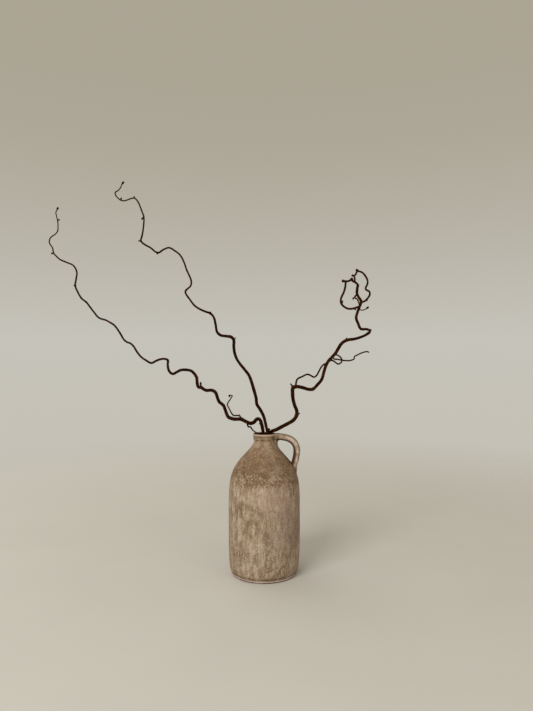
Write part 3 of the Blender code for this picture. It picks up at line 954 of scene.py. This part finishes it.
# Middle branch: the tallest stem, cut hazel like the first, with a sawn stub at the mouth
# and short spurs. It stands at the front of the mouth and climbs to the upper left.
MIDDLE_BUTT = 3.1
MIDDLE_GIRTH = [(0, 3.15), (0.04, 3.15), (0.1, 3.5), (0.16, 3.3), (0.21, 3.0), (0.27, 3.2)]
MIDDLE_GIRTH += [(0.32, 3.0), (0.37, 2.55), (0.41, 2.2), (0.5, 1.95), (0.57, 1.8), (0.66, 1.9)]
MIDDLE_GIRTH += [(0.75, 1.9), (0.82, 1.7), (0.87, 1.5), (0.93, 1.35), (1, 1.1)]
MIDDLE_FOOT = [(53.4, -2, 14.9), (29.7, 155, 0.6), (13.8, 260, -8.9)]
MIDDLE = [(7, 302), (5, 310), (2, 324), (-2, 338), (-9, 351), (-16, 362), (-18, 376), (-23, 394)]
MIDDLE += [(-29, 414), (-35, 428), (-47, 443), (-59, 459), (-65, 474), (-67, 490), (-67, 503)]
MIDDLE += [(-73, 510), (-85, 512), (-96, 514), (-104, 522), (-107, 537), (-111, 553), (-119, 562)]
MIDDLE += [(-130, 566), (-143, 572), (-154, 580), (-164, 593), (-173, 606), (-173, 612)]
MIDDLE += [(-162, 623), (-161, 634), (-166, 647), (-171, 658), (-177, 675), (-185, 690)]
MIDDLE += [(-197, 700), (-210, 707), (-222, 703), (-235, 696), (-251, 707), (-265, 715)]
MIDDLE += [(-272, 722), (-270, 732), (-268, 742), (-266, 761), (-266, 776), (-270, 787)]
MIDDLE += [(-274, 798), (-278, 807), (-283, 814), (-288, 817), (-294, 816), (-300, 814)]
MIDDLE += [(-305, 812), (-311, 811), (-316, 812), (-322, 816), (-326, 820), (-329, 825)]
MIDDLE += [(-329, 830), (-324, 833), (-320, 837), (-317, 841), (-315, 847), (-310, 854)]

foot = len(MIDDLE_FOOT)
points = climb(MIDDLE_FOOT, MIDDLE, start=-12, lean=0.05, curl=11, pitch=118, turn=0.9)
knots = [foot + i for i in (15, 21, 27, 37, 40, 58)]
middle = stem("middle_hazel_branch", points, MIDDLE_BUTT, MIDDLE_GIRTH, knots, BUD_RADIUS)
twigs = []
stub = shoot(twigs, points[foot], [(11.2, 309.4, -1)], 2.8, 2.6, seed=9)
for index, tip, radius in (
    (21, (-118, 566, 2), 2.0), (40, (-278, 722, 1), 1.8), (44, (-271, 769, -2), 1.9),
    (49, (-286.5, 821, 1), 1.8), (54, (-316, 818.5, -2), 1.8), (37, (-236, 692, 0), 1.9),
):
    spur(twigs, points[foot + index], tip, radius)
spur(twigs, points[foot + 14], (-63, 509.5, -2), 1.8, thorn=True)
middle_bark = bark("middle_bark", colour(26, 12, 1), colour(46, 23, 5), colour(66, 38, 14))
cut_end = [(stub[1], (stub[1] - stub[0]).normalized())]
finish_branch(middle, twigs, middle_bark, "branch_middle", cut_end)


# Right branch: the shortest and thickest stem, of the same dry hazel. It leans over the
# lip beside the handle, sends out one long thin twig and ends in a head of curled twigs.
RIGHT_BUTT = 3.8
RIGHT_GIRTH = [(0, 3.85), (0.13, 3.95), (0.19, 3.65), (0.25, 3.95), (0.32, 3.8), (0.38, 3.3)]
RIGHT_GIRTH += [(0.5, 3.3), (0.57, 3.5), (0.63, 3.4), (0.69, 2.8), (0.76, 2.7), (0.82, 2.9)]
RIGHT_GIRTH += [(0.88, 2.8), (0.95, 2.8), (1, 3.0)]
RIGHT_FOOT = [(-38, -2, 0), (-17.5, 145, 0), (-0.8, 262, 0), (3, 282, 0), (8, 294.5, 0)]
RIGHT = [(16, 303), (26, 307), (39, 314), (55, 322), (65, 329), (71, 339), (71, 349), (67, 359)]
RIGHT += [(63, 374), (62, 387), (62, 395), (64, 399), (69, 401), (75, 401), (88, 398), (98, 395)]
RIGHT += [(107, 396), (116, 405), (126, 417), (130, 430), (134, 444), (140, 456), (147, 464)]
RIGHT += [(156, 474), (162, 484), (169, 495), (181, 503), (199, 506), (215, 511), (228, 518)]
RIGHT += [(232, 523), (225, 527), (212, 528), (206, 540), (202, 552), (205, 565), (210, 578)]
RIGHT += [(213, 588), (208, 597), (204, 605), (204, 614), (206, 625)]

foot = len(RIGHT_FOOT)
points = climb(RIGHT_FOOT, RIGHT, start=0, lean=-0.07, curl=9, pitch=96, turn=0.45)
knots = [foot + i for i in (5, 11, 16, 26, 29, 37)]
right = stem("right_hazel_branch", points, RIGHT_BUTT, RIGHT_GIRTH, knots, bud=0)
twigs = []

# Long thin twig: climbs beside the stem, coils once round its back and trails off right
route = [(70, 411, -1), (73, 418, 1), (83, 423, 4), (94, 428, 6), (101, 426, 7), (109, 422, 8)]
route += [(115, 426, 9), (120, 435, 10), (125, 444, 10), (131, 450, 10), (138, 453, 10)]
route += [(147, 459, 8), (154, 456, 4), (161, 451, 0), (166, 452, -4), (170, 457, -6)]
route += [(169, 463, -6), (163, 469, -3), (156, 471, 3), (150, 468, 9), (153, 462, 13)]
route += [(161, 461, 14), (171, 459, 13), (185, 458, 12), (194, 460, 11), (197, 462, 11)]
route += [(198, 467, 11), (207, 472, 12), (216, 476, 13), (226, 478, 14), (230, 476, 14)]
shoot(twigs, points[foot + 12], route, 1.9, 1.4)

# Head: the stem's end turns left, and a left loop and a right loop curl round it
route = [(201, 630, -2), (194, 634, -4), (193, 639, -5), (189, 635, -6), (184, 633, -7)]
route += [(178, 633, -8), (173, 634, -8)]
end = shoot(twigs, points[foot + 41], route, 2.3, 2.1)
spur(twigs, end[-2], (170.2, 633.6, 0), 3.4)

route = [(200, 574, -4), (189, 572, -8), (180, 574, -10), (171, 581, -11), (168, 589, -10)]
route += [(170, 598, -8), (175, 609, -6), (178, 620, -3), (179, 630, 0)]
loop = shoot(twigs, points[foot + 36], route, 2.25, 2.1)
spur(twigs, loop[1], (199.5, 569, -1), 2.4)
spur(twigs, loop[4], (172, 591, -1), 1.7)
hook = [(206, 590, 5), (202, 595, 7), (197, 596, 6), (195, 592, 5)]
shoot(twigs, points[foot + 36], hook, 1.6, 1.3, bud=BUD_RADIUS * 0.85)

route = [(219, 588, 3), (227, 595, 6), (232, 603, 9), (231, 610, 11), (223, 616, 12)]
route += [(227, 627, 12), (227, 635, 11), (224, 642, 8), (217, 651, 4), (208, 655, 0)]
route += [(204, 654, -4), (201, 648, -7), (198, 644, -8), (199, 640, -8), (199, 633, -8)]
loop = shoot(twigs, points[foot + 37], route, 2.1, 1.9)
spur(twigs, loop[10], (201.2, 659, 0), 2.9)
spur(twigs, loop[13], (192, 646.5, -1), 2.6)
spur(twigs, loop[1], (228, 592, 0), 1.9)

route = [(210, 570, 2), (215, 569, 4), (222, 571, 6), (230, 577, 8)]
shoot(twigs, points[foot + 35], route, 1.0, 1.1, bud=BUD_RADIUS * 0.95)

for index, tip, radius in (
    (5, (78, 343.5, -1), 2.4), (11, (57, 408, 1), 2.8), (26, (180, 509, -1), 2.0),
):
    spur(twigs, points[foot + index], tip, radius, thorn=True)
spur(twigs, points[foot + 30], (234, 527.5, 0), 3.0)
spur(twigs, points[foot + 39], (198, 597, 3), 2.0)
broken_end = [(points[-1], (points[-1] - points[-2]).normalized())]
right_bark = bark("right_bark", colour(28, 14, 1), colour(52, 28, 4), colour(74, 44, 13))
finish_branch(right, twigs, right_bark, "branch_right", broken_end)


# Studio: a plain pale round floor that fades out far from the jug into an even pale surround,
# a large soft light at the front left, a weaker one at the right and one behind.
FLOOR_RADIUS, FADE_START, FADE_END = 4.0, 0.6, 2.4
LIGHTS_AIM = Vector((0, 0, 0.3))
disc = bmesh.new()
bmesh.ops.create_circle(disc, cap_ends=True, segments=128, radius=FLOOR_RADIUS)
floor = show("floor", mesh_of(disc, "floor"))
floor_mat = bpy.data.materials.new("pale_floor")
tree, shader, sources = opened(floor_mat)
soft_clouds = grain(tree, sources["Object"], 4, detail=2)
pale = graded(tree, soft_clouds, [(0.3, colour(203, 201, 195)), (0.7, colour(206, 204, 198))])
far = distance_from(tree, sources["Object"], (0, 0, 0))
pale = over(tree, eased(tree, far, 0.2, 2.0), pale, colour(222, 220, 215))
tree.links.new(pale, shader.inputs["Base Color"])
shader.inputs["Roughness"].default_value = 0.75
clear = tree.nodes.new("ShaderNodeBsdfTransparent").outputs[0]
faded = put(
    tree, "ShaderNodeMixShader",
    {0: eased(tree, far, FADE_START, FADE_END), 1: shader.outputs[0], 2: clear},
)
tree.links.new(faded.outputs[0], tree.nodes["Material Output"].inputs["Surface"])
floor.data.materials.append(floor_mat)

surround = bpy.data.worlds.new("surround")
surround.use_nodes = True
tree = surround.node_tree
towards = tree.nodes.new("ShaderNodeTexCoord").outputs["Generated"]
height = put(tree, "ShaderNodeSeparateXYZ", {0: towards}).outputs[2]
sky = graded(tree, eased(tree, height, -0.25, 0.5), [
    (0.0, colour(195, 191, 180)), (0.35, colour(196, 193, 184)), (1.0, colour(170, 163, 147)),
])
tree.links.new(sky, tree.nodes["Background"].inputs["Color"])
bpy.context.scene.world = surround

for name, place, size, power in (
    ("key", (-1.9, -2.9, 2.3), 2.0, 99), ("fill", (2.6, -2.2, 1.6), 2.4, 13),
    ("back", (-1.0, 1.3, 2.6), 2.0, 14),
):
    lamp = bpy.data.lights.new(name, "AREA")
    lamp.size = size
    lamp.energy = power
    lamp.color = (1.0, 0.98, 0.95)
    light = bpy.data.objects.new(name, lamp)
    light.location = place
    light.rotation_euler = (LIGHTS_AIM - Vector(place)).to_track_quat("-Z", "Y").to_euler()
    bpy.context.collection.objects.link(light)
